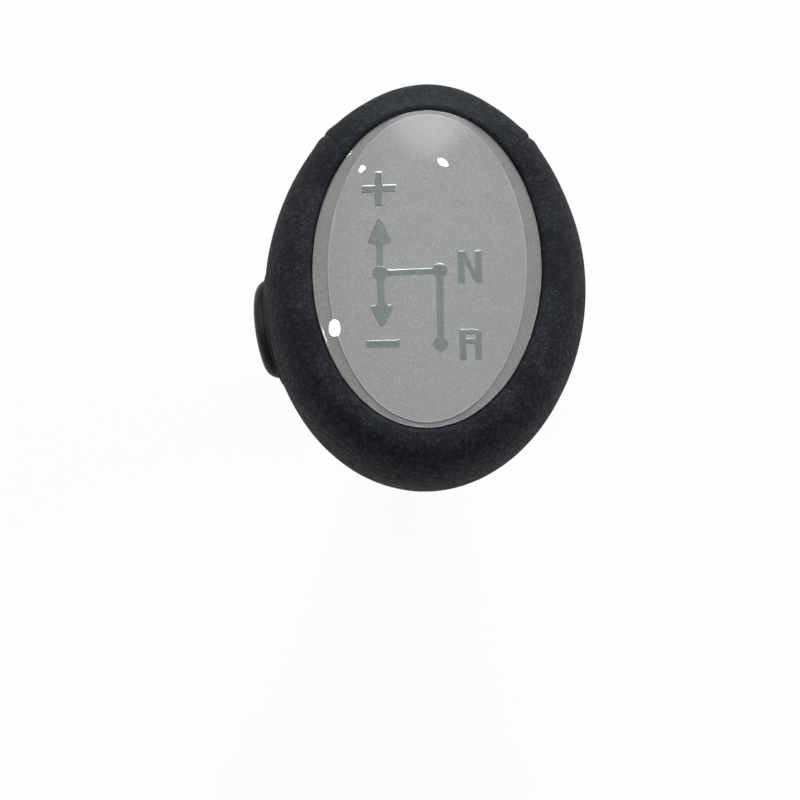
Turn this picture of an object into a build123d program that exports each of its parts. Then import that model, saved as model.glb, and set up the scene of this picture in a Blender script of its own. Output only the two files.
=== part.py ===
from build123d import *

import os
from math import cos, pi, radians, sin, sqrt

os.makedirs("parts", exist_ok=True)

# Frame: the origin is the mouth of the rod socket, +Z runs up the lever, +Y points forward
# and the push button is on the -X flank. All sizes are in millimetres and degrees.

# Clearances
press_clearance = 0.05
slide_clearance = 0.10
loose_clearance = 0.30

# Stem and its rod socket
rod_diameter = 12.0
socket_depth = 30.0
bush_wall = 0.95
bush_flange = 1.5
tube_wall = 2.0
bare_stem = 44.0
held_stem = 28.0
cross_bolt_diameter = 5.0
cross_bolt_height = 12.0
lead_window_width = 5.0
lead_window_length = 8.0
lead_window_height = 37.0
retaining_pin_diameter = 4.0
retaining_pin_wall = 0.8
retaining_pin_slit = 0.7
retaining_pin_inset = 1.0
retaining_pin_height = 60.0

# Collar below the leather
ring_height = 10.0
ring_floor = 2.0
ring_wall = 1.8
ring_overlap = 3.0
ring_edge_radius = 0.6
gaiter_groove_width = 3.0
gaiter_groove_depth = 1.4
gaiter_groove_rise = 3.0
spigot_wall = 3.0

# Grip form
grip_width = 56.4
grip_length = 71.6
grip_height = 62.6
neck_diameter = 30.0
flare_power = 1.6
flare_steps = 5
shoulder_drop = 16.0
shoulder_run = 7.0
shoulder_steps = 5
crest_angle = 87.0
rim_roll_radius = 1.6
core_rim_radius = 0.5
leather_thickness = 1.2
seam_angle = 36.0
seam_gap = 0.3
seam_edge_radius = 0.8

# Badge
badge_side_border = 9.5
badge_end_border = 8.95
badge_gap = 0.25
badge_seat_depth = 5.0
badge_seat_width = 1.55
badge_edge = 4.2
badge_wall = 2.0
field_side_border = 2.5
field_end_border = 0.8
field_rise = 0.4
field_chamfer = 0.25
lens_edge = 0.6
lens_rise = 2.4
lens_edge_radius = 0.4
hook_width = 6.0
hook_thickness = 1.6
hook_drop = 5.0
hook_nose = 0.8
hook_nose_height = 1.6

# Cavity in the core
cavity_floor = 6.0

# Push button
button_length = 18.2
button_width = 11.0
button_back = 6.6
button_drop = 2.5
button_proud = 2.4
button_edge_radius = 3.0
button_travel = 2.0
button_wall = 1.5
button_face = 3.2
button_play = 0.2
collar_thickness = 1.5
button_stem_diameter = 5.0
bezel_wall = 0.8
bezel_lip = 0.4
bezel_proud = 0.3
bezel_edge_radius = 0.2
bezel_depth = 7.0

# Return spring
spring_diameter = 7.0
spring_wire = 0.7
spring_turns = 6

# Switch and its bracket
spring_seat_gap = 5.5
guide_wall = 2.2
guide_width = 13.0
foot_length = 24.0
foot_width = 7.0
foot_thickness = 2.2
screw_diameter = 2.5
screw_head_diameter = 5.2
screw_head_height = 1.8
screw_bite = 5.0
shelf_thickness = 2.0
gusset_thickness = 1.6
gusset_spacing = 8.0
stem_reach = 0.6
switch_length = 12.8
switch_depth = 8.0
switch_height = 6.0
switch_hole_spacing = 6.5
switch_hole_diameter = 2.4
switch_hole_inset = 2.4
switch_edge_radius = 0.5
plunger_diameter = 3.0
plunger_proud = 2.6
plunger_held = 1.4
plunger_tip_radius = 0.4
terminal_spacing = 5.0
terminal_thickness = 0.5
terminal_width = 3.2
terminal_length = 4.0
terminal_held = 2.0
terminal_eye_diameter = 1.2
terminal_eye_inset = 1.6

# Grommet for the lead
grommet_hole_diameter = 3.5
grommet_diameter = 6.0
grommet_flange_diameter = 9.0
grommet_flange = 1.2
grommet_lip_diameter = 7.2
grommet_lip = 1.0
grommet_offset = 3.0

# Heights along the lever
ring_base = bare_stem
spigot_base = ring_base + ring_floor
grip_base = ring_base + ring_height - ring_overlap
crest_height = grip_base + grip_height
widest_height = crest_height - shoulder_drop
flare_base = grip_base + ring_overlap
tube_top = spigot_base + held_stem
floor_height = tube_top + cavity_floor
badge_seat = crest_height - badge_seat_depth
badge_edge_top = badge_seat + badge_edge
field_height = badge_edge_top + field_rise

# Radii of the stem and its collar, and the pin through them
bush_bore = rod_diameter / 2 + press_clearance
bush_radius = bush_bore + bush_wall
tube_bore = bush_radius + press_clearance
tube_radius = tube_bore + tube_wall
socket_radius = tube_radius + press_clearance
spigot_radius = socket_radius + spigot_wall
ring_cup_radius = neck_diameter / 2 + slide_clearance
ring_radius = ring_cup_radius + ring_wall
retaining_pin_length = neck_diameter - 2 * retaining_pin_inset

# Badge outline, its opening and the cavity under it
badge_width = grip_width - 2 * badge_side_border
badge_length = grip_length - 2 * badge_end_border
core_rim_offset = badge_gap + leather_thickness
cavity_offset = -badge_seat_width
pocket_top = field_height - badge_wall
hook_end = badge_seat - hook_drop
hook_catch = hook_end + hook_nose_height

# Sketches on this plane have their first axis along the grip's length
lever_plane = Plane(origin=(0, 0, 0), x_dir=(0, 1, 0), z_dir=(0, 0, 1))


def flare(share):
    """How far the grip has opened from the neck to its widest section, from 0 to 1."""
    return sin(share * pi / 2) ** flare_power


def grip_halves(share, grow):
    """Half width and half length of the grip below its widest section."""
    neck = neck_diameter / 2
    half_width = neck + (grip_width / 2 - neck) * flare(share) + grow
    half_length = neck + (grip_length / 2 - neck) * flare(share) + grow
    return half_width, half_length


def grip_sections(grow):
    """Height, half width and half length of each section, from the neck to the crest."""
    sections = [(grip_base, *grip_halves(0, grow))]
    for step in range(flare_steps):
        share = step / flare_steps
        height = flare_base + share * (widest_height - flare_base)
        sections.append((height, *grip_halves(share, grow)))
    for step in range(shoulder_steps + 1):
        angle = radians(crest_angle * step / shoulder_steps)
        rise = (shoulder_drop + grow) * sin(angle)
        inset = shoulder_run - (shoulder_run + grow) * cos(angle)
        half_width = grip_width / 2 - inset
        half_length = grip_length / 2 - inset
        sections.append((widest_height + rise, half_width, half_length))
    return sections


def grip_form(grow):
    """Solid egg of the grip, grown outwards from the leather's outer face."""
    with BuildPart() as form:
        for height, half_width, half_length in grip_sections(grow):
            with BuildSketch(lever_plane.offset(height)):
                Ellipse(half_length, half_width)
        loft()
    return form.part


def badge_oval(grow):
    """Badge outline as a sketch object, grown by a margin."""
    return Ellipse(badge_length / 2 + grow, badge_width / 2 + grow)


def grip_face_at(height, back):
    """Distance of the leather's outer face from the lever's mid plane, below the widest section."""
    share = (height - flare_base) / (widest_height - flare_base)
    half_width, half_length = grip_halves(share, 0)
    return half_width * sqrt(1 - (back / half_length) ** 2)


# Places along the button's axis, counted outwards from the lever's mid plane
button_height = widest_height - button_drop
flank = grip_face_at(button_height, button_back)
bezel_end = flank - bezel_depth
collar_outer = bezel_end - press_clearance
collar_inner = collar_outer - collar_thickness
button_front = flank + button_proud
spring_outer = button_front - button_face
guide_outer = collar_inner - spring_seat_gap
guide_inner = guide_outer - guide_wall
stem_end = guide_inner - stem_reach
switch_front = stem_end - plunger_proud
switch_back = switch_front - switch_depth
outside = grip_width
shelf_top = button_height - switch_height / 2
shelf_base = shelf_top - shelf_thickness
foot_top = floor_height + foot_thickness
foot_center = (-(guide_inner - foot_width / 2), -button_back)
screw_spacing = foot_length - foot_width

# Sketches on this plane face out of the button's flank, with their first axis along +Y
button_plane = Plane(origin=(0, -button_back, button_height), x_dir=(0, 1, 0), z_dir=(-1, 0, 0))

# Margins of the ovals round the button's outline
bezel_hole_grow = button_play
bezel_tube_grow = bezel_hole_grow + bezel_wall
core_hole_grow = bezel_tube_grow + press_clearance
collar_grow = core_hole_grow - loose_clearance


def button_oval(grow):
    """Button outline as a sketch object, grown by a margin."""
    return Ellipse(button_length / 2 + grow, button_width / 2 + grow)


def hook_sites():
    """A plane through each snap hook, its first axis outwards and its second up, and the hook's reach."""
    half_width = badge_width / 2 + cavity_offset
    half_length = badge_length / 2 + cavity_offset
    for x, y, along, across in (
        (1, 0, half_width, half_length),
        (-1, 0, half_width, half_length),
        (0, 1, half_length, half_width),
        (0, -1, half_length, half_width),
    ):
        plane = Plane(origin=(0, 0, 0), x_dir=(x, y, 0), z_dir=(y, -x, 0))
        wall = along * sqrt(1 - (hook_width / 2 / across) ** 2)
        yield plane, wall - slide_clearance


outer_form = grip_form(0)
core_form = grip_form(-leather_thickness)
bezel_form = grip_form(bezel_proud)
button_form = grip_form(button_proud)

# Stem: plain tube with the cross bolt's and the pin's holes and a window for the lead
with BuildPart() as lever_tube:
    with BuildSketch(Plane.XY.offset(bush_flange)):
        Circle(tube_radius)
        Circle(tube_bore, mode=Mode.SUBTRACT)
    extrude(amount=tube_top - bush_flange)
    with BuildSketch(Plane.YZ):
        with Locations((0, cross_bolt_height)):
            Circle(cross_bolt_diameter / 2 + slide_clearance)
    extrude(amount=tube_radius, both=True, mode=Mode.SUBTRACT)
    with BuildSketch(Plane.XZ):
        with Locations((0, retaining_pin_height)):
            Circle(retaining_pin_diameter / 2 + press_clearance)
    extrude(amount=tube_radius, both=True, mode=Mode.SUBTRACT)
    with BuildSketch(Plane.XZ):
        with Locations((0, lead_window_height)):
            SlotOverall(lead_window_length, lead_window_width, rotation=90)
    extrude(amount=tube_radius, mode=Mode.SUBTRACT)
lever_tube.part.label = "lever_tube"
export_step(lever_tube.part, "parts/lever_tube.step")

# Socket liner: flanged bush for the gearbox rod, with the cross bolt's hole
with BuildPart() as lever_bush:
    with BuildSketch(Plane.XY):
        Circle(tube_radius)
    extrude(amount=bush_flange)
    with BuildSketch(Plane.XY):
        Circle(bush_radius)
    extrude(amount=socket_depth)
    with BuildSketch(Plane.XY):
        Circle(bush_bore)
    extrude(amount=socket_depth, mode=Mode.SUBTRACT)
    with BuildSketch(Plane.YZ):
        with Locations((0, cross_bolt_height)):
            Circle(cross_bolt_diameter / 2 + slide_clearance)
    extrude(amount=tube_radius, both=True, mode=Mode.SUBTRACT)
lever_bush.part.label = "lever_bush"
export_step(lever_bush.part, "parts/lever_bush.step")

# Slotted spring pin that holds the core on the stem
with BuildPart() as retaining_pin:
    with BuildSketch(Plane.XZ):
        with Locations((0, retaining_pin_height)):
            Circle(retaining_pin_diameter / 2)
            Circle(retaining_pin_diameter / 2 - retaining_pin_wall, mode=Mode.SUBTRACT)
        with Locations((0, retaining_pin_height + retaining_pin_diameter / 2)):
            Rectangle(retaining_pin_slit, retaining_pin_diameter, mode=Mode.SUBTRACT)
    extrude(amount=retaining_pin_length / 2, both=True)
retaining_pin.part.label = "retaining_pin"
export_step(retaining_pin.part, "parts/retaining_pin.step")

# Collar: turned section with a floor, a cup for the leather's edge and the gaiter's groove
with BuildPart() as neck_ring:
    groove_radius = ring_radius - gaiter_groove_depth
    groove_base = ring_base + gaiter_groove_rise
    with BuildSketch(Plane.XZ):
        with BuildLine():
            Polyline(
                (tube_radius + slide_clearance, ring_base),
                (ring_radius, ring_base),
                (ring_radius, groove_base),
                (groove_radius, groove_base),
                (groove_radius, groove_base + gaiter_groove_width),
                (ring_radius, groove_base + gaiter_groove_width),
                (ring_radius, ring_base + ring_height),
                (ring_cup_radius, ring_base + ring_height),
                (ring_cup_radius, grip_base),
                (spigot_radius + press_clearance, grip_base),
                (spigot_radius + press_clearance, spigot_base),
                (tube_radius + slide_clearance, spigot_base),
                close=True,
            )
        make_face()
    revolve(axis=Axis.Z)
    ring_rims = neck_ring.edges().filter_by(GeomType.CIRCLE).group_by(SortBy.RADIUS)[-1]
    fillet(ring_rims, ring_edge_radius)
neck_ring.part.label = "neck_ring"
export_step(neck_ring.part, "parts/neck_ring.step")

# Core blank: egg inside the leather, with the badge's recess
with BuildPart() as core_blank:
    add(core_form)
    with BuildSketch(lever_plane.offset(badge_seat)):
        badge_oval(core_rim_offset)
    extrude(amount=badge_seat_depth, mode=Mode.SUBTRACT)
    core_rim = core_blank.faces().sort_by(Axis.Z)[-1].edges().sort_by(SortBy.LENGTH)[0]
    fillet(core_rim, core_rim_radius)

# Core: spigot, stem socket, cavity, lead hole, button bore, pin hole, screw and hook pockets
with BuildPart() as knob_core:
    add(core_blank.part)
    with BuildSketch(Plane.XY.offset(spigot_base)):
        Circle(spigot_radius)
    extrude(amount=grip_base - spigot_base)
    with BuildSketch(Plane.XY.offset(spigot_base)):
        Circle(socket_radius)
    extrude(amount=held_stem, mode=Mode.SUBTRACT)
    with BuildSketch(lever_plane.offset(floor_height)):
        badge_oval(cavity_offset)
    extrude(amount=badge_seat - floor_height, mode=Mode.SUBTRACT)
    with BuildSketch(Plane.XY.offset(tube_top)):
        with Locations((grommet_offset, 0)):
            Circle(grommet_diameter / 2 + press_clearance)
    extrude(amount=cavity_floor, mode=Mode.SUBTRACT)
    with BuildSketch(button_plane.offset(guide_outer)):
        button_oval(core_hole_grow)
    extrude(amount=outside, mode=Mode.SUBTRACT)
    with BuildSketch(Plane.XZ):
        with Locations((0, retaining_pin_height)):
            Circle(retaining_pin_diameter / 2 + press_clearance)
    extrude(amount=grip_length / 2, both=True, mode=Mode.SUBTRACT)
    with BuildSketch(Plane.XY.offset(floor_height)):
        with Locations(foot_center):
            with GridLocations(0, screw_spacing, 1, 2):
                Circle(screw_diameter / 2 + press_clearance)
    extrude(amount=-screw_bite - press_clearance, mode=Mode.SUBTRACT)
    for hook_plane, hook_reach in hook_sites():
        with BuildSketch(hook_plane):
            with Locations((hook_reach, hook_end - loose_clearance)):
                Rectangle(
                    hook_nose + loose_clearance,
                    hook_nose_height + loose_clearance + press_clearance,
                    align=Align.MIN,
                )
        extrude(amount=hook_width / 2 + loose_clearance, both=True, mode=Mode.SUBTRACT)
knob_core.part.label = "knob_core"
export_step(knob_core.part, "parts/knob_core.step")

# Leather blank: skin between the grip's outer face and the core, tucked down round the badge
with BuildPart() as leather_blank:
    add(outer_form)
    with BuildSketch(lever_plane.offset(badge_seat)):
        badge_oval(badge_gap)
    extrude(amount=badge_seat_depth, mode=Mode.SUBTRACT)
    leather_rim = leather_blank.faces().sort_by(Axis.Z)[-1].edges().sort_by(SortBy.LENGTH)[0]
    fillet(leather_rim, rim_roll_radius)
    add(core_blank.part, mode=Mode.SUBTRACT)
    with BuildSketch(button_plane):
        button_oval(core_hole_grow)
    extrude(amount=outside, mode=Mode.SUBTRACT)


def seam_wedge(shift):
    """Sector of the front panel as a sketch object, its sides moved forwards by a shift."""
    apex = shift / sin(radians(seam_angle))
    far = apex + grip_length
    side = grip_length * sin(radians(seam_angle)) / cos(radians(seam_angle))
    return Polygon((apex, 0), (far, -side), (far, side), align=None)


def seam_edges(panel):
    """Outer edges of a panel's two seams: the longest edge of each upright flat face."""
    level = panel.faces().filter_by(Plane.XY)
    upright = panel.faces().filter_by(GeomType.PLANE) - level
    return [face.edges().sort_by(SortBy.LENGTH)[-1] for face in upright]


# Leather panels, with turned edges at the two blind seams
with BuildPart() as leather_front_panel:
    add(leather_blank.part)
    with BuildSketch(lever_plane):
        seam_wedge(seam_gap / 2)
    extrude(amount=crest_height, mode=Mode.INTERSECT)
    fillet(seam_edges(leather_front_panel), seam_edge_radius)
leather_front_panel.part.label = "leather_front_panel"
export_step(leather_front_panel.part, "parts/leather_front_panel.step")

with BuildPart() as leather_rear_panel:
    add(leather_blank.part)
    with BuildSketch(lever_plane):
        seam_wedge(-seam_gap / 2)
    extrude(amount=crest_height, mode=Mode.SUBTRACT)
    fillet(seam_edges(leather_rear_panel), seam_edge_radius)
leather_rear_panel.part.label = "leather_rear_panel"
export_step(leather_rear_panel.part, "parts/leather_rear_panel.step")

# Badge plate: oval with a raised field, hollow below, with snap hooks that catch in the core
with BuildPart() as badge_plate:
    with BuildSketch(lever_plane.offset(badge_seat)):
        badge_oval(0)
    extrude(amount=badge_edge)
    with BuildSketch(lever_plane.offset(badge_edge_top)):
        Ellipse(badge_length / 2 - field_end_border, badge_width / 2 - field_side_border)
    extrude(amount=field_rise)
    field_rim = badge_plate.faces().sort_by(Axis.Z)[-1].edges()
    chamfer(field_rim, field_chamfer)
    with BuildSketch(lever_plane.offset(badge_seat)):
        badge_oval(cavity_offset)
    extrude(amount=pocket_top - badge_seat, mode=Mode.SUBTRACT)
    for hook_plane, hook_reach in hook_sites():
        with BuildSketch(hook_plane):
            with BuildLine():
                Polyline(
                    (hook_reach, pocket_top),
                    (hook_reach, hook_catch),
                    (hook_reach + hook_nose, hook_catch),
                    (hook_reach, hook_end),
                    (hook_reach - hook_thickness, hook_end),
                    (hook_reach - hook_thickness, pocket_top),
                    close=True,
                )
            make_face()
        extrude(amount=hook_width / 2, both=True)
badge_plate.part.label = "badge_plate"
export_step(badge_plate.part, "parts/badge_plate.step")

# Badge lens: turned dome, stretched to the badge's oval and hollowed by the plate
with BuildPart() as badge_lens:
    lens_rim = (badge_width / 2, badge_edge_top + lens_edge)
    lens_crown = (0, badge_edge_top + lens_edge + lens_rise)
    with BuildSketch(Plane.XZ) as lens_profile:
        with BuildLine():
            Polyline(lens_crown, (0, badge_edge_top), (badge_width / 2, badge_edge_top), lens_rim)
            TangentArc(lens_crown, lens_rim, tangent=(1, 0))
        make_face()
        rim_corner = lens_profile.vertices().group_by(Axis.X)[-1].sort_by(Axis.Z)[-1]
        fillet(rim_corner, lens_edge_radius)
    revolve(axis=Axis.Z)
    scale(by=(1, badge_length / badge_width, 1))
    add(badge_plate.part, mode=Mode.SUBTRACT)
badge_lens.part.label = "badge_lens"
export_step(badge_lens.part, "parts/badge_lens.step")

# Button bezel: lip that follows the leather's curve and a sleeve into the core
with BuildPart() as button_bezel:
    with BuildSketch(button_plane):
        button_oval(bezel_tube_grow + bezel_lip)
    extrude(amount=outside)
    add(outer_form, mode=Mode.SUBTRACT)
    with BuildSketch(button_plane.offset(bezel_end)):
        button_oval(bezel_tube_grow)
    extrude(amount=outside)
    add(bezel_form, mode=Mode.INTERSECT)
    with BuildSketch(button_plane):
        button_oval(bezel_hole_grow)
    extrude(amount=outside, mode=Mode.SUBTRACT)
    bezel_face = button_bezel.faces().sort_by(Axis.X)[0]
    fillet(bezel_face.edges(), bezel_edge_radius)
button_bezel.part.label = "button_bezel"
export_step(button_bezel.part, "parts/button_bezel.step")

# Button cap: hollow plug with a rounded face, a retaining collar and a stem for the switch
with BuildPart() as button_cap:
    with BuildSketch(button_plane.offset(collar_outer)):
        button_oval(0)
    extrude(amount=outside)
    add(button_form, mode=Mode.INTERSECT)
    cap_face = button_cap.faces().sort_by(Axis.X)[0]
    fillet(cap_face.edges(), button_edge_radius)
    with BuildSketch(button_plane.offset(collar_inner)):
        button_oval(collar_grow)
    extrude(amount=collar_thickness)
    with BuildSketch(button_plane.offset(collar_inner)):
        button_oval(-button_wall)
    extrude(amount=spring_outer - collar_inner, mode=Mode.SUBTRACT)
    with BuildSketch(button_plane.offset(stem_end)):
        Circle(button_stem_diameter / 2)
    extrude(amount=spring_outer - stem_end)
button_cap.part.label = "button_cap"
export_step(button_cap.part, "parts/button_cap.step")

# Return spring round the button's stem, between the cap and the guide wall
with BuildPart() as return_spring:
    coil_radius = (spring_diameter - spring_wire) / 2
    coil_margin = spring_wire / 2 + press_clearance
    coil_height = spring_outer - guide_outer - 2 * coil_margin
    coil_start = (-guide_outer - coil_margin, -button_back, button_height)
    with BuildLine() as coil:
        Helix(coil_height / spring_turns, coil_height, coil_radius, coil_start, direction=(-1, 0, 0))
    with BuildSketch(Plane(origin=coil.line @ 0, z_dir=coil.line % 0)):
        Circle(spring_wire / 2)
    sweep(is_frenet=True)
return_spring.part.label = "return_spring"
export_step(return_spring.part, "parts/return_spring.step")

# Switch holder: guide wall, screwed foot and gusseted shelf with two locating pegs
with BuildPart() as switch_holder:
    wall_drop = button_height - floor_height
    with BuildSketch(button_plane.offset(guide_inner)):
        Circle(guide_width / 2)
        Rectangle(guide_width, wall_drop, align=(Align.CENTER, Align.MIN))
    extrude(amount=guide_wall)
    with BuildSketch(Plane.XY.offset(floor_height)):
        with Locations(foot_center):
            SlotOverall(foot_length, foot_width, rotation=90)
            with GridLocations(0, screw_spacing, 1, 2):
                Circle(screw_diameter / 2 + slide_clearance, mode=Mode.SUBTRACT)
    extrude(amount=foot_thickness)
    with BuildSketch(Plane.XY.offset(shelf_base)):
        with Locations((-(guide_inner + switch_back) / 2, -button_back)):
            Rectangle(guide_inner - switch_back, switch_length)
    extrude(amount=shelf_thickness)
    for side in (-1, 1):
        gusset_place = button_back + side * gusset_spacing / 2
        with BuildSketch(Plane.XZ.offset(gusset_place)):
            Polygon(
                (-guide_inner, shelf_base),
                (-switch_front, shelf_base),
                (-guide_inner, foot_top),
                align=None,
            )
        extrude(amount=gusset_thickness / 2, both=True)
    with BuildSketch(Plane.XY.offset(shelf_top)):
        with Locations((-(switch_back + switch_hole_inset), -button_back)):
            with GridLocations(0, switch_hole_spacing, 1, 2):
                Circle(switch_hole_diameter / 2 - slide_clearance)
    extrude(amount=switch_height)
    with BuildSketch(button_plane.offset(guide_inner)):
        Circle(button_stem_diameter / 2 + slide_clearance)
    extrude(amount=guide_wall, mode=Mode.SUBTRACT)
switch_holder.part.label = "switch_holder"
export_step(switch_holder.part, "parts/switch_holder.step")

# Screws of the holder's foot
with BuildPart() as holder_screws:
    with BuildSketch(Plane.XY.offset(foot_top)):
        with Locations(foot_center):
            with GridLocations(0, screw_spacing, 1, 2):
                Circle(screw_head_diameter / 2)
    extrude(amount=screw_head_height)
    head_rims = holder_screws.edges().group_by(Axis.Z)[-1]
    fillet(head_rims, screw_head_height / 2)
    with BuildSketch(Plane.XY.offset(floor_height - screw_bite)):
        with Locations(foot_center):
            with GridLocations(0, screw_spacing, 1, 2):
                Circle(screw_diameter / 2)
    extrude(amount=screw_bite + foot_thickness)
holder_screws.part.label = "holder_screws"
export_step(holder_screws.part, "parts/holder_screws.step")

# Switch case with its plunger bore, terminal slots and locating holes
with BuildPart() as switch_body:
    with BuildSketch(Plane.XY.offset(shelf_top)):
        with Locations((-(switch_front + switch_back) / 2, -button_back)):
            RectangleRounded(switch_depth, switch_length, switch_edge_radius)
        with Locations((-(switch_back + switch_hole_inset), -button_back)):
            with GridLocations(0, switch_hole_spacing, 1, 2):
                Circle(switch_hole_diameter / 2, mode=Mode.SUBTRACT)
    extrude(amount=switch_height)
    with BuildSketch(button_plane.offset(switch_front)):
        Circle(plunger_diameter / 2 + slide_clearance)
    extrude(amount=-(plunger_held + button_travel + loose_clearance), mode=Mode.SUBTRACT)
    with BuildSketch(button_plane.offset(switch_back)):
        with GridLocations(terminal_spacing, 0, 3, 1):
            Rectangle(terminal_thickness + 2 * press_clearance, terminal_width + 2 * press_clearance)
    extrude(amount=terminal_held, mode=Mode.SUBTRACT)
switch_body.part.label = "switch_body"
export_step(switch_body.part, "parts/switch_body.step")

# Switch plunger, met by the button's stem
with BuildPart() as switch_plunger:
    with BuildSketch(button_plane.offset(switch_front - plunger_held)):
        Circle(plunger_diameter / 2)
    extrude(amount=plunger_held + plunger_proud)
    fillet(switch_plunger.edges().sort_by(Axis.X)[0], plunger_tip_radius)
switch_plunger.part.label = "switch_plunger"
export_step(switch_plunger.part, "parts/switch_plunger.step")

# Switch terminals: blades with an eye for the lead's strands
with BuildPart() as switch_terminals:
    with BuildSketch(button_plane.offset(switch_back - terminal_length)):
        with GridLocations(terminal_spacing, 0, 3, 1):
            Rectangle(terminal_thickness, terminal_width)
    extrude(amount=terminal_length + terminal_held)
    with BuildSketch(Plane.XZ.offset(button_back)):
        with Locations((terminal_length - terminal_eye_inset - switch_back, button_height)):
            Circle(terminal_eye_diameter / 2)
    extrude(amount=switch_length, both=True, mode=Mode.SUBTRACT)
switch_terminals.part.label = "switch_terminals"
export_step(switch_terminals.part, "parts/switch_terminals.step")

# Grommet in the cavity's floor, where the lead goes down the stem
with BuildPart() as lead_grommet:
    lead_bore = grommet_offset + grommet_hole_diameter / 2
    lip_edge = grommet_offset + grommet_lip_diameter / 2
    shank_edge = grommet_offset + grommet_diameter / 2
    flange_edge = grommet_offset + grommet_flange_diameter / 2
    with BuildSketch(Plane.XZ):
        with BuildLine():
            Polyline(
                (lead_bore, tube_top - grommet_lip),
                (lip_edge, tube_top - grommet_lip),
                (lip_edge, tube_top),
                (shank_edge, tube_top),
                (shank_edge, floor_height),
                (flange_edge, floor_height),
                (flange_edge, floor_height + grommet_flange),
                (lead_bore, floor_height + grommet_flange),
                close=True,
            )
        make_face()
    revolve(axis=Axis((grommet_offset, 0, 0), (0, 0, 1)))
lead_grommet.part.label = "lead_grommet"
export_step(lead_grommet.part, "parts/lead_grommet.step")
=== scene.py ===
from math import cos, pi, radians, sin, sqrt

import bmesh
import bpy
import numpy as np
from mathutils import Matrix, Vector, noise


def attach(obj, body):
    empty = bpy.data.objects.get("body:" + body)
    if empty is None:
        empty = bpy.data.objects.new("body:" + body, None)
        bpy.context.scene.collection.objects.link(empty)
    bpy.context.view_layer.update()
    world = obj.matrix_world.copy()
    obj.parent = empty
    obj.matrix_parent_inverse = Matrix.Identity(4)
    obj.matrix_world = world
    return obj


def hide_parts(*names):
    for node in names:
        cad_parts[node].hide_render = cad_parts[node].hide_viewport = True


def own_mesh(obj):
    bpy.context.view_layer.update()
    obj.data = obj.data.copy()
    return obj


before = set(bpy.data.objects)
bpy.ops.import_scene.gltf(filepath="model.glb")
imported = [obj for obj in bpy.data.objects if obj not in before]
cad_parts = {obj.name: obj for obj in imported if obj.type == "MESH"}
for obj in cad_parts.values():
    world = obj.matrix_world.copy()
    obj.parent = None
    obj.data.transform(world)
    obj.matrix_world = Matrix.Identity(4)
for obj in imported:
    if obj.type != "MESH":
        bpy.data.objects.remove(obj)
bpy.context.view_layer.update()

MM = 0.001
scene = bpy.context.scene
scene.view_settings.view_transform = "Standard"

# Sizes shared with the part's source, in millimetres and degrees
HALF_WIDTH = 28.2
HALF_LENGTH = 35.8
GRIP_BASE = 51.0
GRIP_HEIGHT = 62.6
RING_OVERLAP = 3.0
NECK_RADIUS = 15.0
FLARE_POWER = 1.6
SHOULDER_DROP = 16.0
SHOULDER_RUN = 7.0
CREST_ANGLE = 87.0
LEATHER = 1.2
SEAM_ANGLE = 36.0
BADGE_SIDE_BORDER = 9.5
BADGE_END_BORDER = 8.95
BADGE_SEAT_DEPTH = 5.0
BADGE_EDGE = 4.2
FIELD_SIDE_BORDER = 2.5
FIELD_END_BORDER = 0.8
FIELD_RISE = 0.4
FIELD_CHAMFER = 0.25
LENS_EDGE = 0.6
LENS_RISE = 2.4
BUTTON_LENGTH = 18.2
BUTTON_WIDTH = 11.0
BUTTON_BACK = 6.6
BUTTON_DROP = 2.5
BUTTON_PLAY = 0.2
BEZEL_WALL = 0.8
BEZEL_CLEARANCE = 0.05

# Levels and outlines that follow from them
GRIP_TOP = GRIP_BASE + GRIP_HEIGHT
FLARE_BASE = GRIP_BASE + RING_OVERLAP
WIDEST = GRIP_TOP - SHOULDER_DROP
CREST = WIDEST + SHOULDER_DROP * sin(radians(CREST_ANGLE))
BADGE_SEAT = GRIP_TOP - BADGE_SEAT_DEPTH
BADGE_EDGE_TOP = BADGE_SEAT + BADGE_EDGE
BADGE_HALF_WIDTH = HALF_WIDTH - BADGE_SIDE_BORDER
BADGE_HALF_LENGTH = HALF_LENGTH - BADGE_END_BORDER
FIELD = BADGE_EDGE_TOP + FIELD_RISE
FIELD_HALF_WIDTH = BADGE_HALF_WIDTH - FIELD_SIDE_BORDER
FIELD_HALF_LENGTH = BADGE_HALF_LENGTH - FIELD_END_BORDER
LENS_RIM = BADGE_EDGE_TOP + LENS_EDGE
LENS_CROWN = LENS_RIM + LENS_RISE
BUTTON_Y = -BUTTON_BACK
BUTTON_Z = WIDEST - BUTTON_DROP
BEZEL_MARGIN = BUTTON_PLAY + BEZEL_WALL + BEZEL_CLEARANCE

# Edges and gaps that are finer here than in the source
RIM_ROLL = 0.9
SEAM_GAP = 0.08
BADGE_GAP = 0.12
LENS_EDGE_RADIUS = 0.18


# Helpers for objects and meshes

def link(obj):
    scene.collection.objects.link(obj)
    return obj


def mesh_object(name, verts, faces, smooth=True):
    """Object with a mesh whose faces all point outwards."""
    mesh = bpy.data.meshes.new(name)
    mesh.from_pydata(verts, [], faces)
    mesh.validate()
    bm = bmesh.new()
    bm.from_mesh(mesh)
    bmesh.ops.recalc_face_normals(bm, faces=bm.faces)
    bm.to_mesh(mesh)
    bm.free()
    if smooth:
        mesh.polygons.foreach_set("use_smooth", [True] * len(mesh.polygons))
    mesh.update()
    return link(bpy.data.objects.new(name, mesh))


def full_turn(count):
    """Angles of evenly spaced points round a circle."""
    return [2 * pi * k / count for k in range(count)]


def evenly(start, end, steps):
    """Evenly spaced values from start to end."""
    return [start + (end - start) * k / steps for k in range(steps + 1)]


def ring_faces(first, second, count):
    """Faces between two closed rings of points, each given by the index of its first point."""
    return [(first + k, second + k, second + (k + 1) % count, first + (k + 1) % count) for k in range(count)]


# Helpers for materials

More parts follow.
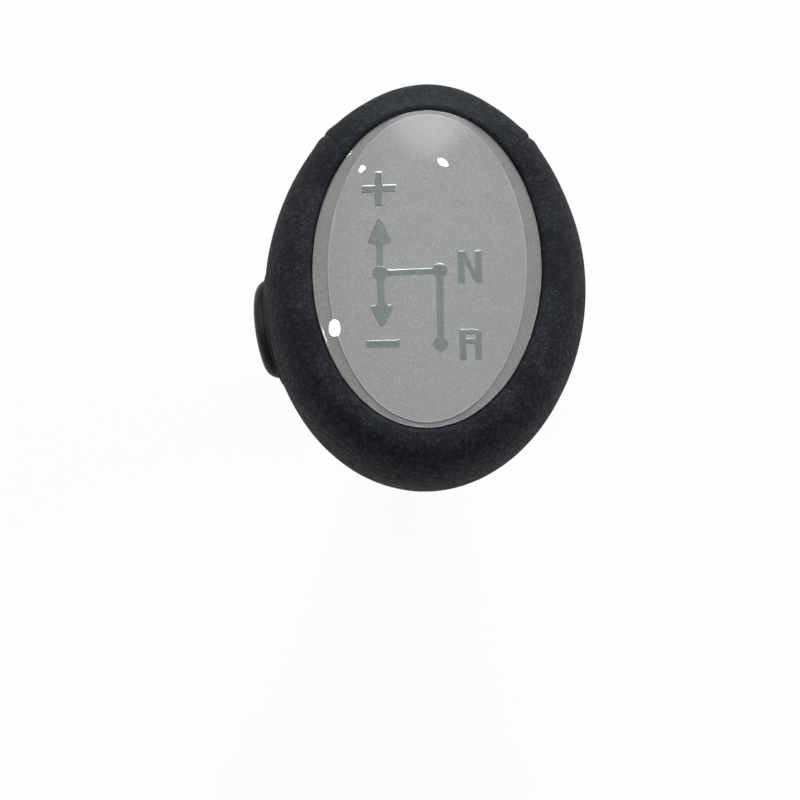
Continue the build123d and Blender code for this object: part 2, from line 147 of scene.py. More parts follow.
def add_node(tree, kind, inputs=None, **props):
    """Shader node with its properties set, and its inputs linked to sockets or set to values."""
    n = tree.nodes.new(kind)
    for key, value in props.items():
        setattr(n, key, value)
    for key, value in (inputs or {}).items():
        if isinstance(value, bpy.types.NodeSocket):
            tree.links.new(value, n.inputs[key])
        else:
            n.inputs[key].default_value = value
    return n


def new_material(name, color, rough, metal=0.0, specular=0.5):
    """Material with plain values, its node tree and its shader."""
    mat = bpy.data.materials.new(name)
    mat.use_nodes = True
    bsdf = mat.node_tree.nodes["Principled BSDF"]
    bsdf.inputs["Base Color"].default_value = (*color, 1)
    bsdf.inputs["Roughness"].default_value = rough
    bsdf.inputs["Metallic"].default_value = metal
    bsdf.inputs["Specular IOR Level"].default_value = specular
    return mat, mat.node_tree, bsdf


def place(tree, stretch=(1, 1, 1)):
    """Object coordinates, in metres, multiplied along each axis."""
    coords = add_node(tree, "ShaderNodeTexCoord").outputs["Object"]
    if stretch == (1, 1, 1):
        return coords
    return add_node(tree, "ShaderNodeMapping", {"Vector": coords, "Scale": stretch}).outputs["Vector"]


def along(tree, where, axis):
    """One coordinate of a place."""
    return add_node(tree, "ShaderNodeSeparateXYZ", {"Vector": where}).outputs[axis]


def cloud(tree, where, scale, detail=2.0, rough=0.5):
    """Noise texture with a scale per metre."""
    return add_node(tree, "ShaderNodeTexNoise",
                    {"Vector": where, "Scale": scale, "Detail": detail, "Roughness": rough})


def noise_at(tree, where, scale, detail=2.0, rough=0.5):
    return cloud(tree, where, scale, detail, rough).outputs["Fac"]


def edge_distance(tree, where, scale, randomness):
    """Distance from the nearest edge between cells, with a number of cells per metre."""
    n = add_node(tree, "ShaderNodeTexVoronoi",
                 {"Vector": where, "Scale": scale, "Randomness": randomness}, feature="DISTANCE_TO_EDGE")
    return n.outputs["Distance"]


def flakes(tree, where, scale):
    """Random value of each small cell, with a number of cells per metre."""
    n = add_node(tree, "ShaderNodeTexVoronoi", {"Vector": where, "Scale": scale}, feature="F1")
    return add_node(tree, "ShaderNodeSeparateColor", {"Color": n.outputs["Color"]}).outputs[0]


def vector_math(tree, op, inputs):
    return add_node(tree, "ShaderNodeVectorMath", inputs, operation=op)


def wander(tree, coords, shift, reach):
    """Coordinates moved by a noise texture's colour, by up to half the reach each way."""
    centred = vector_math(tree, "SUBTRACT", {0: shift.outputs["Color"], 1: (0.5, 0.5, 0.5)})
    scaled = vector_math(tree, "SCALE", {0: centred.outputs[0], "Scale": reach})
    return vector_math(tree, "ADD", {0: coords, 1: scaled.outputs[0]}).outputs[0]


def ranged(tree, value, source, target, smooth=False):
    """Value carried from one range to another and held at its ends."""
    ends = {"Value": value, "From Min": source[0], "From Max": source[1],
            "To Min": target[0], "To Max": target[1]}
    kind = "SMOOTHSTEP" if smooth else "LINEAR"
    return add_node(tree, "ShaderNodeMapRange", ends, interpolation_type=kind).outputs["Result"]


def combine(tree, op, a, b):
    return add_node(tree, "ShaderNodeMath", {0: a, 1: b}, operation=op).outputs[0]


def weighted(tree, a, weight_a, b, weight_b):
    """Sum of two values, each times its weight."""
    first = combine(tree, "MULTIPLY", a, weight_a)
    second = combine(tree, "MULTIPLY", b, weight_b)
    return combine(tree, "ADD", first, second)


def mix_colors(tree, factor, first, second, blend="MIX"):
    """Mix of two colours, whose sockets on the node are the inputs 6 and 7 and the output 2."""
    n = add_node(tree, "ShaderNodeMix", {"Factor": factor, 6: first, 7: second},
                 data_type="RGBA", blend_type=blend)
    return n.outputs[2]


def ramp(tree, value, stops):
    """Colour ramp with stops given as positions and colours."""
    n = add_node(tree, "ShaderNodeValToRGB", {"Fac": value})
    elements = n.color_ramp.elements
    while len(elements) < len(stops):
        elements.new(0.5)
    for element, (position, color) in zip(elements, stops):
        element.position = position
        element.color = (*color, 1)
    return n.outputs["Color"]


def bump(tree, bsdf, height, distance, strength=1.0):
    n = add_node(tree, "ShaderNodeBump", {"Height": height, "Distance": distance, "Strength": strength})
    tree.links.new(n.outputs["Normal"], bsdf.inputs["Normal"])


PATCH_SIZE = 9.0
DARKER = 0.86
LIGHTER = 1.12


def moulded(name, color, rough, grain, depth, spread, metal=0.0, stretch=(1, 1, 1), specular=0.5):
    """Moulded plastic or plain metal: grain of a size and depth in millimetres, patchy gloss and tone."""
    mat, tree, bsdf = new_material(name, color, rough, metal, specular)
    where = place(tree, stretch)
    fine = noise_at(tree, where, scale=1 / (grain * MM), detail=3.0, rough=0.6)
    broad = noise_at(tree, where, scale=1 / (PATCH_SIZE * MM), detail=3.0, rough=0.55)
    darker = tuple(c * DARKER for c in color)
    lighter = tuple(c * LIGHTER for c in color)
    tree.links.new(ramp(tree, broad, [(0.3, darker), (0.7, lighter)]), bsdf.inputs["Base Color"])
    patchy = weighted(tree, broad, 0.6, fine, 0.4)
    gloss = ranged(tree, patchy, (0.35, 0.65), (rough - spread, rough + spread))
    tree.links.new(gloss, bsdf.inputs["Roughness"])
    bump(tree, bsdf, fine, depth * MM)
    return mat


# Leather material

# Tones of the leather: painted shade in the grain's hollows, its own colour, and a painted highlight on the
# pebble tops
LEATHER_HOLLOW_SHADE = (0.0015, 0.0016, 0.0022)
LEATHER_MID = (0.0045, 0.0048, 0.0064)
LEATHER_TOP_HIGHLIGHT = (0.0185, 0.0192, 0.0228)
# Pale colour for dust flecks on the crest, and for a painted highlight on the crest's front
LEATHER_DUST_AND_SHEEN = (0.045, 0.048, 0.053, 1)
PATCH_RANGE = (0.3, 0.7)

# Grain: cells per metre, how far their edges wander in millimetres, and weights in the height
PEBBLES = 1400.0
PEBBLE_STRETCH = (1, 1, 3.0)
PEBBLE_WANDER = 1.2
PEBBLE_WEIGHT = 0.36
CREASES = 590.0
CREASE_WANDER = 2.6
CREASE_WEIGHT = 0.56
PORES = 7000.0
PORE_WEIGHT = 0.16
WRINKLES = 170.0
WRINKLE_STRETCH = (1, 1, 3.2)
WRINKLE_WEIGHT = 2.2
GRAIN_DEPTH = 0.28

# The painted highlight on the crest's front begins and is full at these distances ahead, in millimetres
SHEEN_START = 20.0
SHEEN_FULL = 30.0


def leather_height(tree, where, grain):
    """Height of the grain: drawn-out pebbles, loose creases that fade on the crest, and pores."""
    bend = cloud(tree, where, scale=420.0)
    drawn = wander(tree, place(tree, PEBBLE_STRETCH), bend, PEBBLE_WANDER * MM)
    pebble = edge_distance(tree, drawn, PEBBLES, randomness=0.9)
    crown = ranged(tree, pebble, (0.0, 0.26), (0.0, 1.0), smooth=True)
    wobble = cloud(tree, where, scale=800.0, detail=3.0, rough=0.6)
    crease = edge_distance(tree, wander(tree, where, wobble, CREASE_WANDER * MM), CREASES, randomness=1.0)
    filled = ranged(tree, grain, (0.95, 0.70), (0.0, 0.55))
    fold = combine(tree, "MAXIMUM", ranged(tree, crease, (0.0, 0.2), (0.0, 1.0), smooth=True), filled)
    pores = noise_at(tree, where, PORES, detail=3.0, rough=0.65)
    coarse = weighted(tree, crown, PEBBLE_WEIGHT, fold, CREASE_WEIGHT)
    return weighted(tree, coarse, 1.0, pores, PORE_WEIGHT)


def leather_dust_and_sheen(tree, where, grain, patch):
    """Share of the pale colour: dust flecks on the worn crest, and a painted highlight on the crest's front.
    """
    crest = ranged(tree, grain, (0.85, 0.5), (0.0, 1.0))
    worn = combine(tree, "MULTIPLY", crest, ranged(tree, patch, (0.4, 0.65), (0.1, 0.5)))
    fleck = ranged(tree, noise_at(tree, where, scale=2300.0), (0.58, 0.70), (0.3, 1.1))
    sheen_range = (SHEEN_START * MM, SHEEN_FULL * MM)
    front = ranged(tree, along(tree, where, "Y"), sheen_range, (0.0, 0.56), smooth=True)
    # Painted highlight: the crest is lighter towards the front, where light from ahead falls on it
    painted_sheen = combine(tree, "MULTIPLY", combine(tree, "POWER", crest, 3.0), front)
    return combine(tree, "MAXIMUM", combine(tree, "MULTIPLY", worn, fleck), painted_sheen)


def leather_material():
    """Black grained leather. The mesh's grain attribute says how deep the grain is."""
    mat, tree, bsdf = new_material("leather_black", LEATHER_MID, 0.6, specular=0.17)
    bsdf.inputs["Specular Tint"].default_value = (0.72, 0.82, 1.0, 1)
    where = place(tree)
    grain = add_node(tree, "ShaderNodeAttribute", attribute_name="grain").outputs["Fac"]
    patch = noise_at(tree, where, scale=130.0, detail=3.0, rough=0.55)
    height = leather_height(tree, where, grain)
    wrinkle = noise_at(tree, place(tree, WRINKLE_STRETCH), WRINKLES, detail=3.0, rough=0.6)
    relief = weighted(tree, height, 1.0, wrinkle, WRINKLE_WEIGHT)
    strength = combine(tree, "MULTIPLY", grain, ranged(tree, patch, PATCH_RANGE, (0.7, 1.0)))
    bump(tree, bsdf, relief, GRAIN_DEPTH * MM, strength)
    # Tone follows the grain's height and varies at random with the patches: painted shade in the hollows,
    # painted highlight on the pebble tops
    level = combine(tree, "MULTIPLY", height, ranged(tree, patch, PATCH_RANGE, (0.75, 1.1)))
    tone = ramp(tree, level, [(0.15, LEATHER_HOLLOW_SHADE), (0.6, LEATHER_MID), (1.0, LEATHER_TOP_HIGHLIGHT)])
    # Dust flecks and the painted highlight on the crest's front are mixed into the tone
    dust_and_sheen_tone = mix_colors(tree, leather_dust_and_sheen(tree, where, grain, patch), tone, LEATHER_DUST_AND_SHEEN)
    tree.links.new(dust_and_sheen_tone, bsdf.inputs["Base Color"])
    matt = ranged(tree, patch, PATCH_RANGE, (0.76, 0.86))
    tree.links.new(weighted(tree, height, -0.16, matt, 1.0), bsdf.inputs["Roughness"])
    return mat


# Leather panels: rows of points from the neck over the crest to the badge's seat, and back inside

NECK_ROWS = 4
FLARE_ROWS = 72
SHOULDER_ROWS = 46
LIP_ROWS = 2
ROLL_ROWS = 10
WALL_ROWS = 3
INNER_SHOULDER_ROWS = 9
INNER_FLARE_ROWS = 16
CREST_ROW = NECK_ROWS + FLARE_ROWS + SHOULDER_ROWS

# Depth of the grain on each stretch, as a share
NECK_GRAIN = 0.8
FULL_GRAIN = 1.0
SHOULDER_LOSS = 0.45
LIP_GRAIN = 0.5
ROLL_GRAIN = 0.4
INNER_GRAIN = 0.4

# Mouth for the badge, and the glued side
MOUTH_HALF_WIDTH = BADGE_HALF_WIDTH + BADGE_GAP
MOUTH_HALF_LENGTH = BADGE_HALF_LENGTH + BADGE_GAP
SEAT_GAP = 0.05
WALL_FOOT = BADGE_SEAT + SEAT_GAP
GLUE_GAP = 0.03
SKIN = LEATHER - GLUE_GAP
INNER_TURN_RUN = 0.4
INNER_TURN_DROP = 0.5

# Turned edges at the seams: height, and distance of the highest line from the seam
FRONT_EDGE = (0.25, 0.8)
REAR_EDGE = (0.20, 1.2)
EDGE_FADE = 1.35
EDGE_DEPTH = 0.55
SEAM_REACH = 30.0

# Columns of points, by their distance in millimetres from a seam
NEAR_SEAM = (0, 0.12, 0.25, 0.4, 0.6, 0.85, 1.15, 1.5, 1.9, 2.4, 3.0, 3.7)
COLUMN_WIDTH = 0.75
COLUMN_REACH = 31.0

# Beside the front the leather lies a little below the oval
SAG = 0.6
SAG_POWER = 1.5
SAG_FULL = radians(20.0)
SAG_HOLD = radians(45.0)
SAG_END = radians(98.0)

# Edges and sag fade over the rows before the crest
FADE_BEFORE = 26
FADE_ROWS = 24
FADE_ROW = CREST_ROW - FADE_BEFORE
FADE_LEAST = 0.05

# Waves of stretched leather: heights in millimetres, and pitches per millimetre
WAVE = 0.07
WAVE_PITCH = 0.11
SLACK_WAVE = 0.05
SLACK_PITCH = 0.35
SLACK_PITCH_UP = 0.9
SLACK_RISE = 6.0
SLACK_RUN = 18.0
SLACK_TOP = WIDEST + SLACK_RISE

# Hole for the button's bezel
HOLE_HALF_LENGTH = BUTTON_LENGTH / 2 + BEZEL_MARGIN
HOLE_HALF_HEIGHT = BUTTON_WIDTH / 2 + BEZEL_MARGIN
HOLE_POINTS = 64
DRILL_ENDS = (-40.0, -15.0)


def flare_row(share, skin=0.0):
    """Half width, half length and height at a share of the flare's height, less a skin."""
    opened = sin(share * pi / 2) ** FLARE_POWER
    return (NECK_RADIUS + (HALF_WIDTH - NECK_RADIUS) * opened - skin,
            NECK_RADIUS + (HALF_LENGTH - NECK_RADIUS) * opened - skin,
            FLARE_BASE + share * (WIDEST - FLARE_BASE))


def shoulder_row(share, skin=0.0):
    """Half width, half length and height at a share of the shoulder's turn, less a skin."""
    angle = radians(CREST_ANGLE * share)
    inset = SHOULDER_RUN - (SHOULDER_RUN - skin) * cos(angle)
    return HALF_WIDTH - inset, HALF_LENGTH - inset, WIDEST + (SHOULDER_DROP - skin) * sin(angle)


def outer_rows():
    """Half width, half length, height and grain of each row of the outer side."""
    rows = []
    for step in range(NECK_ROWS):
        z = GRIP_BASE + (FLARE_BASE - GRIP_BASE) * step / NECK_ROWS
        rows.append((NECK_RADIUS, NECK_RADIUS, z, NECK_GRAIN))
    for step in range(FLARE_ROWS):
        rows.append((*flare_row(step / FLARE_ROWS), FULL_GRAIN))
    for share in evenly(0, 1, SHOULDER_ROWS):
        rows.append((*shoulder_row(share), FULL_GRAIN - SHOULDER_LOSS * share ** 2))
    crest_width, crest_length = rows[-1][:2]
    for share in evenly(0, 1, LIP_ROWS)[1:]:
        rows.append((crest_width + (MOUTH_HALF_WIDTH + RIM_ROLL - crest_width) * share,
                     crest_length + (MOUTH_HALF_LENGTH + RIM_ROLL - crest_length) * share, CREST, LIP_GRAIN))
    for angle in evenly(0, pi / 2, ROLL_ROWS)[1:]:
        out = RIM_ROLL * (1 - sin(angle))
        z = CREST - RIM_ROLL * (1 - cos(angle))
        rows.append((MOUTH_HALF_WIDTH + out, MOUTH_HALF_LENGTH + out, z, ROLL_GRAIN))
    for z in evenly(CREST - RIM_ROLL, WALL_FOOT, WALL_ROWS)[1:]:
        rows.append((MOUTH_HALF_WIDTH, MOUTH_HALF_LENGTH, z, ROLL_GRAIN))
    return rows


def inner_rows():
    """Half width, half length and height of each row of the glued side."""
    wall_width = MOUTH_HALF_WIDTH + SKIN
    wall_length = MOUTH_HALF_LENGTH + SKIN
    rows = [(wall_width, wall_length, WALL_FOOT),
            (wall_width, wall_length, CREST - SKIN - INNER_TURN_DROP),
            (wall_width + INNER_TURN_RUN, wall_length + INNER_TURN_RUN, CREST - SKIN)]
    rows += [shoulder_row(share, SKIN) for share in evenly(1, 0, INNER_SHOULDER_ROWS)]
    rows += [flare_row(share, SKIN) for share in evenly(1, 0, INNER_FLARE_ROWS)[1:]]
    rows.append((NECK_RADIUS - SKIN, NECK_RADIUS - SKIN, GRIP_BASE))
    return rows


def around(half_width, half_length, azimuth):
    """Point of an oval in the direction of an azimuth from +Y towards +X, and its distance from the axis."""
    reach = 1 / sqrt((sin(azimuth) / half_width) ** 2 + (cos(azimuth) / half_length) ** 2)
    return reach * sin(azimuth), reach * cos(azimuth), reach


def columns(start, end):
    """Azimuths from one seam to the other, close together near both seams."""
    head = [start + distance / COLUMN_REACH for distance in NEAR_SEAM]
    tail = [end - distance / COLUMN_REACH for distance in reversed(NEAR_SEAM)]
    count = int((tail[0] - head[-1]) / (COLUMN_WIDTH / COLUMN_REACH))
    return head + evenly(head[-1], tail[0], count)[1:-1] + tail


def edge_rise(distance, edge):
    """Rise of a turned edge at a distance from the seam: a rounded shoulder that drops into the seam."""
    high, top = edge
    if distance >= top:
        return high * np.exp(-(((distance - top) / EDGE_FADE) ** 2))
    return high - (high + EDGE_DEPTH) * (1 - sqrt(1 - (1 - distance / top) ** 2))


def sag_at(turn):
    """How far the leather lies below the oval at an azimuth."""
    off = min(abs(turn), 2 * pi - abs(turn))
    rise = min(1.0, off / SAG_FULL) ** SAG_POWER
    fall = min(1.0, max(0.0, (SAG_END - off) / (SAG_END - SAG_HOLD)))
    return SAG * rise * fall * fall * (3 - 2 * fall)


def waves(point):
    """Uneven height of stretched leather, with finer waves below the shoulder."""
    slack = min(1.0, max(0.0, (SLACK_TOP - point.z) / SLACK_RUN))
    fine = Vector((point.x * SLACK_PITCH, point.y * SLACK_PITCH, point.z * SLACK_PITCH_UP))
    return WAVE * noise.noise(point * WAVE_PITCH) + SLACK_WAVE * slack * noise.noise(fine)


def rise_at(point, row, turn, distance, edge):
    """Height of the leather above the plain oval form, at a row, an azimuth and a distance from the seam."""
    high, top = edge
    fade = min(1.0, max(FADE_LEAST, 1 - (row - FADE_ROW) / FADE_ROWS))
    rise = (edge_rise(distance, edge) - sag_at(turn)) * fade
    if row < CREST_ROW + LIP_ROWS:
        rise += waves(point)
        if distance > top:
            rise = min(rise, high)
    if row < NECK_ROWS:
        rise = min(0.0, rise)
    return rise


def outer_grid(start, end, turns, rows, edge):
    """Points of the outer side in millimetres, by column and row."""
    grid = np.zeros((len(turns), len(rows), 3))
    reach = np.zeros((len(turns), len(rows)))
    for i, turn in enumerate(turns):
        for j, (half_width, half_length, z, _) in enumerate(rows):
            x, y, reach[i, j] = around(half_width, half_length, turn)
            grid[i, j] = (x, y, z)
    normal = np.cross(np.gradient(grid, axis=1), np.gradient(grid, axis=0))
    normal /= np.linalg.norm(normal, axis=2, keepdims=True)
    for i, turn in enumerate(turns):
        for j in range(len(rows)):
            distance = min(turn - start, end - turn) * reach[i, j]
            grid[i, j] += normal[i, j] * rise_at(Vector(grid[i, j]), j, turn, distance, edge)
    # the widest points stay inside the solid's box
    grid[:, :, 0] = np.clip(grid[:, :, 0], -HALF_WIDTH, HALF_WIDTH)
    grid[:, :, 1] = np.clip(grid[:, :, 1], -HALF_LENGTH, HALF_LENGTH)
    return grid


def grid_area(grid):
    across = np.diff(grid, axis=0)[:, :-1]
    upward = np.diff(grid, axis=1)[:-1]
    return float(np.linalg.norm(np.cross(across, upward), axis=2).sum())


def leather_panel(name, start, end, edge):
    """Leather from one seam to the other, closed at its edges, and its outer side's area in square metres."""
    outer, inner, turns = outer_rows(), inner_rows(), columns(start, end)
    grid = outer_grid(start, end, turns, outer, edge)
    verts, grain = [], []
    for column, turn in zip(grid, turns):
        verts += [tuple(point * MM) for point in column]
        grain += [row[3] for row in outer]
        for half_width, half_length, z in inner:
            x, y, _ = around(half_width, half_length, turn)
            verts.append((x * MM, y * MM, z * MM))
            grain.append(INNER_GRAIN)
    loop = len(outer) + len(inner)
    last = (len(turns) - 1) * loop
    faces = []
    for first in range(0, last, loop):
        faces += ring_faces(first, first + loop, loop)
    faces.append(tuple(range(loop)))
    faces.append(tuple(reversed(range(last, last + loop))))
    obj = mesh_object(name, verts, faces)
    attribute = obj.data.attributes.new("grain", "FLOAT", "POINT")
    attribute.data.foreach_set("value", np.array(grain, np.float32))
    return obj, grid_area(grid) * MM * MM


def cut_button_hole(panel):
    """Cuts the oval hole for the button's bezel through a panel."""
    ring = [(BUTTON_Y + HOLE_HALF_LENGTH * cos(angle), BUTTON_Z + HOLE_HALF_HEIGHT * sin(angle))
            for angle in full_turn(HOLE_POINTS)]
    verts = [(x * MM, y * MM, z * MM) for x in DRILL_ENDS for y, z in ring]
    caps = [tuple(range(HOLE_POINTS)), tuple(range(HOLE_POINTS, 2 * HOLE_POINTS))]
    drill = mesh_object("drill", verts, ring_faces(0, HOLE_POINTS, HOLE_POINTS) + caps, False)
    cut = panel.modifiers.new("hole", "BOOLEAN")
    cut.operation = "DIFFERENCE"
    cut.solver = "EXACT"
    cut.object = drill
    graph = bpy.context.evaluated_depsgraph_get()
    mesh = bpy.data.meshes.new_from_object(panel.evaluated_get(graph))
    panel.modifiers.clear()
    panel.data = mesh
    bpy.data.objects.remove(drill)


leather = leather_material()
seam = radians(SEAM_ANGLE)
half_gap = SEAM_GAP / 2 / SEAM_REACH
front, front_area = leather_panel("leather_front", -seam + half_gap, seam - half_gap, FRONT_EDGE)
rear, rear_area = leather_panel("leather_rear", seam + half_gap, 2 * pi - seam - half_gap, REAR_EDGE)
for panel, node in ((front, "leather_front_panel"), (rear, "leather_rear_panel")):
    panel.data.materials.append(leather)
    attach(panel, "lever")
    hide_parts(node)
cut_button_hole(rear)


# Clear dome over the badge

LENS_POINTS = 288
DOME_RINGS = 90
DOME_CROWDING = 0.8
LENS_EDGE_RINGS = 6
UNDERSIDE_SHARES = (1.0, 0.75, 0.5, 0.25)
RESIN_SINK = 0.04
DOME_RADIUS = (BADGE_HALF_WIDTH ** 2 + LENS_RISE ** 2) / (2 * LENS_RISE)
RESIN_INDEX = 1.49


def dome(share):
    """Height of the lens at a share of the way from its middle to its edge."""
    across = share * BADGE_HALF_WIDTH
    return LENS_CROWN - DOME_RADIUS + sqrt(DOME_RADIUS ** 2 - across ** 2)


def lens_rings():
    """Half width, half length and height of each ring, from the crown over the edge to the underside."""
    edge = 1 - LENS_EDGE_RADIUS / BADGE_HALF_WIDTH
    rings = []
    for step in range(1, DOME_RINGS + 1):
        share = edge * (step / DOME_RINGS) ** DOME_CROWDING
        rings.append((BADGE_HALF_WIDTH * share, BADGE_HALF_LENGTH * share, dome(share)))
    for angle in evenly(0, pi / 2, LENS_EDGE_RINGS)[1:]:
        share = edge + (1 - edge) * sin(angle)
        z = dome(edge) - LENS_EDGE_RADIUS * (1 - cos(angle))
        rings.append((BADGE_HALF_WIDTH * share, BADGE_HALF_LENGTH * share, z))
    step_width, step_length = FIELD_HALF_WIDTH - RESIN_SINK, FIELD_HALF_LENGTH - RESIN_SINK
    rings.append((BADGE_HALF_WIDTH, BADGE_HALF_LENGTH, BADGE_EDGE_TOP - RESIN_SINK))
    rings.append((step_width, step_length, BADGE_EDGE_TOP - RESIN_SINK))
    rings.append((step_width, step_length, FIELD - FIELD_CHAMFER - RESIN_SINK))
    for share in UNDERSIDE_SHARES:
        rings.append(((step_width - FIELD_CHAMFER) * share, (step_length - FIELD_CHAMFER) * share,
                      FIELD - RESIN_SINK))
    return rings


def lens_piece():
    """Dome with a rounded edge. Its underside sits a hair inside the plate, as resin that has set on it."""
    rings = lens_rings()
    verts = [(0, 0, LENS_CROWN * MM)]
    for half_width, half_length, z in rings:
        verts += [(half_width * cos(angle) * MM, half_length * sin(angle) * MM, z * MM)
                  for angle in full_turn(LENS_POINTS)]
    verts.append((0, 0, (FIELD - RESIN_SINK) * MM))
    below = len(verts) - 1
    starts = [1 + k * LENS_POINTS for k in range(len(rings))]
    faces = [(0, 1 + k, 1 + (k + 1) % LENS_POINTS) for k in range(LENS_POINTS)]
    for first, second in zip(starts, starts[1:]):
        faces += ring_faces(first, second, LENS_POINTS)
    faces += [(below, starts[-1] + (k + 1) % LENS_POINTS, starts[-1] + k) for k in range(LENS_POINTS)]
    return mesh_object("badge_dome", verts, faces)


def clear_resin():
    """Clear resin with a faint haze."""
    mat, tree, bsdf = new_material("clear_resin", (1.0, 1.0, 1.0), 0.0)
    bsdf.inputs["Transmission Weight"].default_value = 1.0
    bsdf.inputs["IOR"].default_value = RESIN_INDEX
    haze = noise_at(tree, place(tree), scale=60.0, detail=3.0)
    tone = ramp(tree, haze, [(0.35, (0.972, 0.978, 0.974)), (0.65, (1.0, 1.0, 1.0))])
    tree.links.new(tone, bsdf.inputs["Base Color"])
    return mat


lens = lens_piece()
lens.data.materials.append(clear_resin())
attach(lens, "lever")
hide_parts("badge_lens")


# Silver paint of the badge's plate

SILVER_DARK = (0.325, 0.328, 0.32)
SILVER_MID = (0.383, 0.383, 0.374)
SILVER_LIGHT = (0.505, 0.505, 0.496)
# Painted shade for the low border round the raised field
BORDER_PAINTED_SHADE = (0.76, 0.765, 0.75, 1)
STEP_MARGIN = 0.05


def silver_flake():
    """Silver paint with fine flakes, with painted shade that darkens the low border round the raised field.
    """
    mat, tree, bsdf = new_material("silver_flake", SILVER_MID, 0.42, 0.35)
    where = place(tree)
    spark = flakes(tree, where, scale=6200.0)
    uneven = weighted(tree, spark, 0.7, noise_at(tree, where, scale=160.0, detail=4.0, rough=0.6), 0.3)
    tone = ramp(tree, uneven, [(0.1, SILVER_DARK), (0.55, SILVER_MID), (0.95, SILVER_LIGHT)])
    # Painted shade: the low border is darker than the raised field
    step = ((BADGE_EDGE_TOP + STEP_MARGIN) * MM, (FIELD - STEP_MARGIN) * MM)
    raised = ranged(tree, along(tree, where, "Z"), step, (0.0, 1.0))
    painted_border_shade = mix_colors(tree, raised, BORDER_PAINTED_SHADE, (1, 1, 1, 1))
    tree.links.new(mix_colors(tree, 1.0, tone, painted_border_shade, "MULTIPLY"), bsdf.inputs["Base Color"])
    tree.links.new(ranged(tree, spark, (0.0, 1.0), (0.34, 0.52)), bsdf.inputs["Roughness"])
    bump(tree, bsdf, spark, 0.006 * MM, 0.6)
    return mat


silver = silver_flake()


# Gate pattern on the badge, in millimetres from its middle

LEFT_X = -7.58
LEFT_Y = -1.48
RIGHT_X = 2.0
RIGHT_Y = -1.30
LOW_X = 1.83
LOW_Y = -13.37
NODE_RADIUS = 1.25
NODE_POINTS = 28
STROKE = 1.05
STEM = 1.25
UP_BASE = 3.45
UP_TIP = 8.25
DOWN_X = -7.44
DOWN_BASE = -6.75
DOWN_TIP = -10.85
ARROW_HALF = 2.12
PLUS = (-7.56, 12.95)
PLUS_WIDTH = 5.7
PLUS_HEIGHT = 6.0
PLUS_BAR = 1.3
MINUS = (-7.40, -13.12)
MINUS_WIDTH = 5.4
MINUS_BAR = 1.25

# Letters: place, size, strokes, and the turns of the R
LETTER_N = (6.84, -0.74)
LETTER_R = (6.60, -13.52)
N_WIDTH = 4.05
N_HEIGHT = 5.5
N_STROKE = 1.24
N_DIAGONAL = 2.05
R_WIDTH = 3.65
R_HEIGHT = 5.1
R_STROKE = 1.18
R_BAR = 0.92
R_WAIST = 0.49
R_CUT = 0.2
R_CUT_DROP = 0.25
R_NOTCH_LOW = 0.05
R_NOTCH_HIGH = 0.3
R_BOWL_START = -0.6
R_BOWL_STEPS = 12
R_HOLE_STEPS = 10

# Form of each raised mark
MARK_TURN = radians(1.9)
MARK_SINK = 0.05
MARK_FOOT = 0.02
MARK_CHAMFER = 0.13
MARK_RISE = 0.032
LAYER = 0.004
SIGN_CORNER = 0.12
ARROW_CORNER = 1.0
BAR_CORNER = 0.05
LETTER_CORNER = 0.1
CORNER_STEPS = 4
CORNER_SHARE = 2.2
ROUND_POINTS = 16

MARK_DARK = (0.18, 0.207, 0.195)
MARK_MID = (0.205, 0.236, 0.222)
MARK_LIGHT = (0.26, 0.295, 0.28)


def moved(points, x, y):
    return [(x + px, y + py) for px, py in points]


def box_loop(x, y, width, height):
    w, h = width / 2, height / 2
    return moved([(-w, -h), (w, -h), (w, h), (-w, h)], x, y)


def disc_loop(x, y):
    points = [(NODE_RADIUS * cos(angle), NODE_RADIUS * sin(angle)) for angle in full_turn(NODE_POINTS)]
    return moved(points, x, y)


def cross_loop(x, y, width, height, bar):
    w, h, b = width / 2, height / 2, bar / 2
    return moved([(b, b), (b, h), (-b, h), (-b, b), (-w, b), (-w, -b),
                  (-b, -b), (-b, -h), (b, -h), (b, -b), (w, -b), (w, b)], x, y)


def bar_loop(start, end, width):
    """Bar from one point to another."""
    start, end = Vector(start), Vector(end)
    side = (end - start).orthogonal().normalized() * width / 2
    return [tuple(p) for p in (start - side, end - side, end + side, start + side)]


def arrow_loop(foot, base, tip):
    """Arrow with its stem, from the foot of the stem to the tip."""
    foot, base, tip = Vector(foot), Vector(base), Vector(tip)
    side = (tip - foot).orthogonal().normalized()
    half = side * STEM / 2
    wing = side * ARROW_HALF
    points = (foot - half, base - half, base - wing, tip, base + wing, base + half, foot + half)
    return [tuple(p) for p in points]


def letter_n(x, y):
    w, h = N_WIDTH / 2, N_HEIGHT / 2
    stem = w - N_STROKE
    bend = h - N_DIAGONAL
    return moved([(-w, -h), (-stem, -h), (-stem, bend), (stem, -h), (w, -h),
                  (w, h), (stem, h), (stem, -bend), (-stem, h), (-w, h)], x, y)


def letter_r(x, y):
    """Outline and hole of the letter."""
    w, h = R_WIDTH / 2, R_HEIGHT / 2
    stem = w - R_STROKE
    waist = h - R_HEIGHT * R_WAIST
    bowl = (h - waist) / 2
    middle = h - bowl
    inside = bowl - R_BAR
    outline = [(-w, -h), (-stem, -h), (-stem, waist), (stem - R_CUT, waist), (stem, waist - R_CUT_DROP),
               (stem, -h), (w, -h), (w, waist - R_NOTCH_LOW), (w - R_CUT, waist + R_NOTCH_HIGH)]
    for angle in evenly(R_BOWL_START, pi / 2, R_BOWL_STEPS):
        outline.append((w - bowl + bowl * cos(angle), middle + bowl * sin(angle)))
    outline.append((-w, h))
    hole = [(-stem, middle - inside)]
    for angle in evenly(-pi / 2, pi / 2, R_HOLE_STEPS):
        hole.append((w - bowl + inside * cos(angle), middle + inside * sin(angle)))
    hole.append((-stem, middle + inside))
    return [moved(outline, x, y), moved(hole, x, y)]


